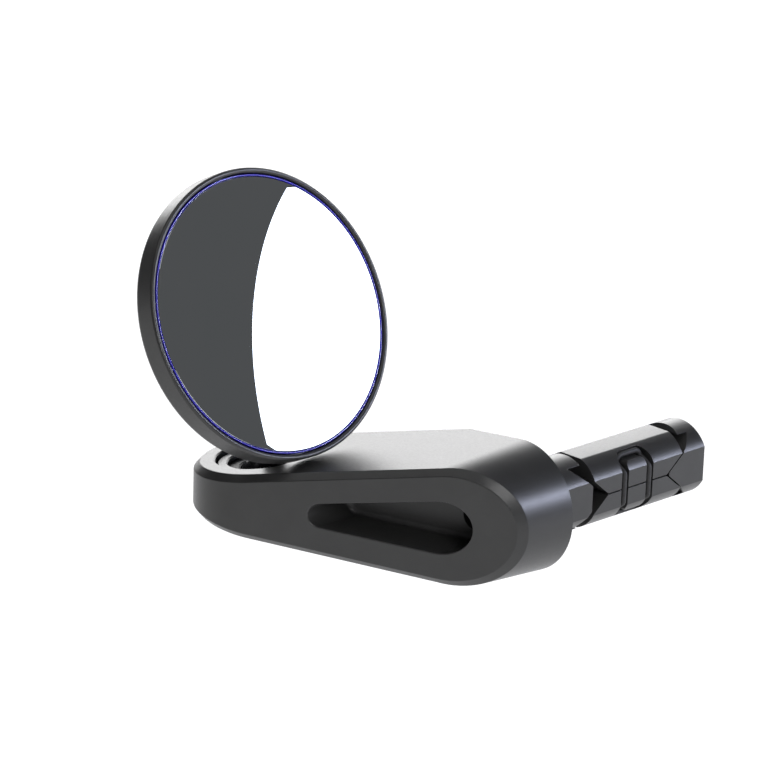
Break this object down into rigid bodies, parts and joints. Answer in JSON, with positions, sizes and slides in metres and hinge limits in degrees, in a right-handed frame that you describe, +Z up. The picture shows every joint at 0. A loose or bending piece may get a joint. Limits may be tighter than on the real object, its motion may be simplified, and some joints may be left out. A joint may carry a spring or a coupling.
{
  "type": "bar-end bicycle mirror",
  "caption": "Round convex mirror on a ball joint at the end of a tapered swept arm, with a two-jaw expander plug that grips the inside of a handlebar end.",
  "frame": {"origin": "on the expander plug's axis, at the arm's seat against the handlebar's end", "axes": "+Y along the plug's axis into the handlebar, +Z up, +X towards the rider"},
  "size_m": [0.0735, 0.1137, 0.0802],
  "materials": {
    "anodised": "black anodised, satin",
    "steel": "stainless, plain",
    "black_steel": "black oxide",
    "nylon": "black nylon",
    "rubber": "matt black",
    "foam": "foam pad",
    "mirror_glass": "convex mirror",
    "blue_bead": "deep blue"
  },
  "bodies": {
    "arm": {"arm_body": "anodised", "retaining_ring": "anodised", "left_locating_pin": "steel", "right_locating_pin": "steel", "preload_spring": "steel", "near_wedge": "anodised", "bolt_washer": "steel"},
    "cups": {"lower_cup": "nylon", "upper_cup": "nylon"},
    "ball": {"ball_stud": "black_steel", "stud_spring_washer": "steel", "stud_friction_washer": "nylon"},
    "head": {"mirror_housing": "anodised", "backing_pad": "foam", "mirror_glass": "mirror_glass", "glass_edge_bead": "blue_bead"},
    "bolt": {"expander_bolt": "black_steel"},
    "far_wedge": {"far_wedge": "anodised", "wedge_nut": "steel"},
    "upper_jaw": {"upper_jaw": "anodised", "right_band": "rubber", "left_band": "rubber"},
    "lower_jaw": {"lower_jaw": "anodised"}
  },
  "joints": [
    {"name": "head_swivel", "type": "hinge", "parent": "arm", "child": "cups", "pos_m": [-0.04296, -0.03431, 0.0022], "axis": [-0.1182, -0.0629, 0.991], "continuous": true},
    {"name": "head_tilt", "type": "hinge", "parent": "cups", "child": "ball", "pos_m": [-0.04296, -0.03431, 0.0022], "axis": [0, 1, 0], "range_deg": [-45, 0]},
    {"name": "head_turn", "type": "hinge", "parent": "ball", "child": "head", "pos_m": [-0.04296, -0.03431, 0.0022], "axis": [0.309, 0, 0.9511], "range_deg": [-12, 24]},
    {"name": "bolt_turn", "type": "hinge", "parent": "arm", "child": "bolt", "pos_m": [0, 0, 0], "axis": [0, 1, 0], "range_deg": [0, 1234.9]},
    {"name": "far_wedge_slide", "type": "slide", "parent": "arm", "child": "far_wedge", "axis": [0, -1, 0], "range_m": [0, 0.0024]},
    {"name": "upper_jaw_slide", "type": "slide", "parent": "arm", "child": "upper_jaw", "axis": [0, -0.7809, 0.6247], "range_m": [0, 0.00154]},
    {"name": "lower_jaw_slide", "type": "slide", "parent": "upper_jaw", "child": "lower_jaw", "axis": [0, 0, -1], "range_m": [0, 0.00192], "deforming": ["right_band", "left_band"]}
  ],
  "couplings": [
    {"joint": "bolt_turn", "follows": "far_wedge_slide", "rad_per_m": 8976},
    {"joint": "upper_jaw_slide", "follows": "far_wedge_slide", "ratio": 0.64031},
    {"joint": "lower_jaw_slide", "follows": "far_wedge_slide", "ratio": 0.8}
  ]
}
